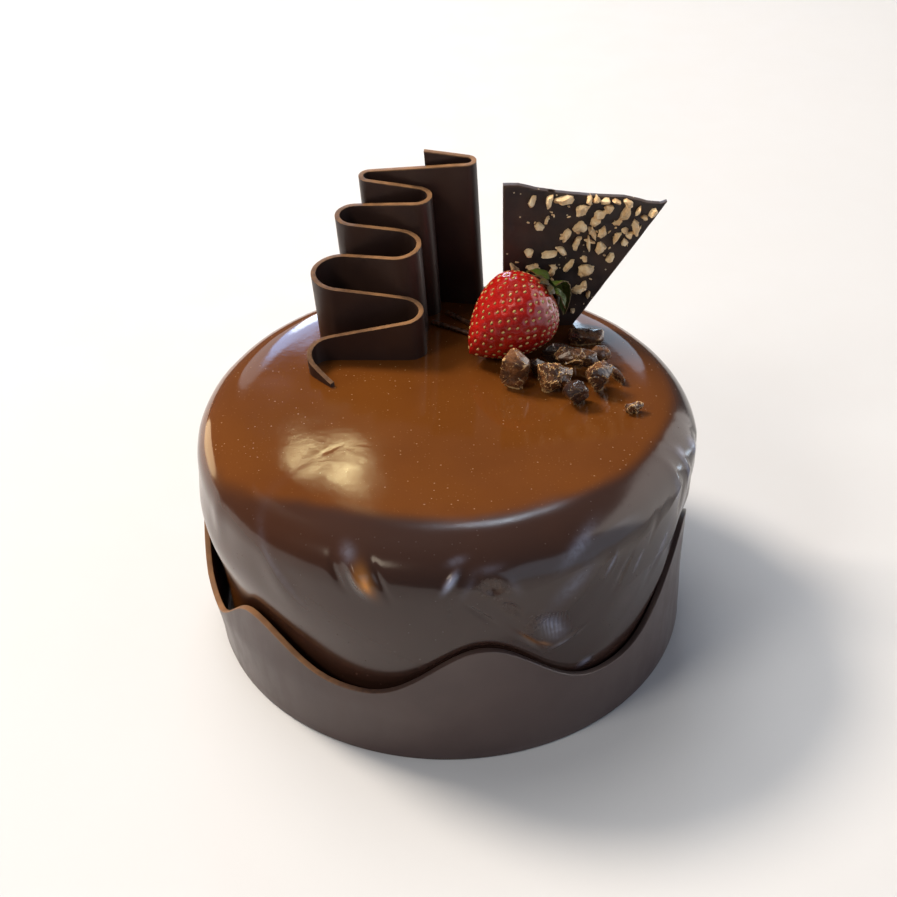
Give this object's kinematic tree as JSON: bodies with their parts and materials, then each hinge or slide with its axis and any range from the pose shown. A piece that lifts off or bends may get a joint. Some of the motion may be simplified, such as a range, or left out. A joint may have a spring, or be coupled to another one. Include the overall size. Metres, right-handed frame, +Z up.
{
  "type": "glazed chocolate cake",
  "caption": "Round uncut chocolate cake with a mirror glaze, a wavy chocolate band round its foot, a folded chocolate ribbon, a nut shard, a strawberry and chocolate chunks.",
  "frame": {"origin": "middle of the cake's flat base, on the surface it stands on", "axes": "+Z up, -Y towards the front where the band's middle crest is, +X towards the strawberry and the chunks"},
  "size_m": [0.1626, 0.1607, 0.1389],
  "materials": {
    "glaze": "mirror glaze",
    "dark_chocolate": "satin",
    "chopped_chocolate": "satin, broken faces",
    "nut_shard": "satin with pale chopped nuts",
    "strawberry": "wet gloss with seeds",
    "leaf": "matte"
  },
  "bodies": {
    "root": {"cake_body": "glaze", "chocolate_band": "dark_chocolate", "chocolate_ribbon": "dark_chocolate", "nut_shard": "nut_shard", "strawberry": "strawberry", "strawberry_leaf_1": "leaf", "strawberry_leaf_2": "leaf", "strawberry_leaf_3": "leaf", "chunk_01": "chopped_chocolate", "chunk_02": "chopped_chocolate", "chunk_03": "chopped_chocolate", "chunk_04": "chopped_chocolate", "chunk_05": "chopped_chocolate", "chunk_06": "chopped_chocolate", "chunk_07": "chopped_chocolate", "chunk_08": "chopped_chocolate", "chocolate_sliver": "chopped_chocolate", "chocolate_slab": "chopped_chocolate", "crumb": "chopped_chocolate", "stick_front": "dark_chocolate", "stick_back": "dark_chocolate"}
  },
  "joints": []
}
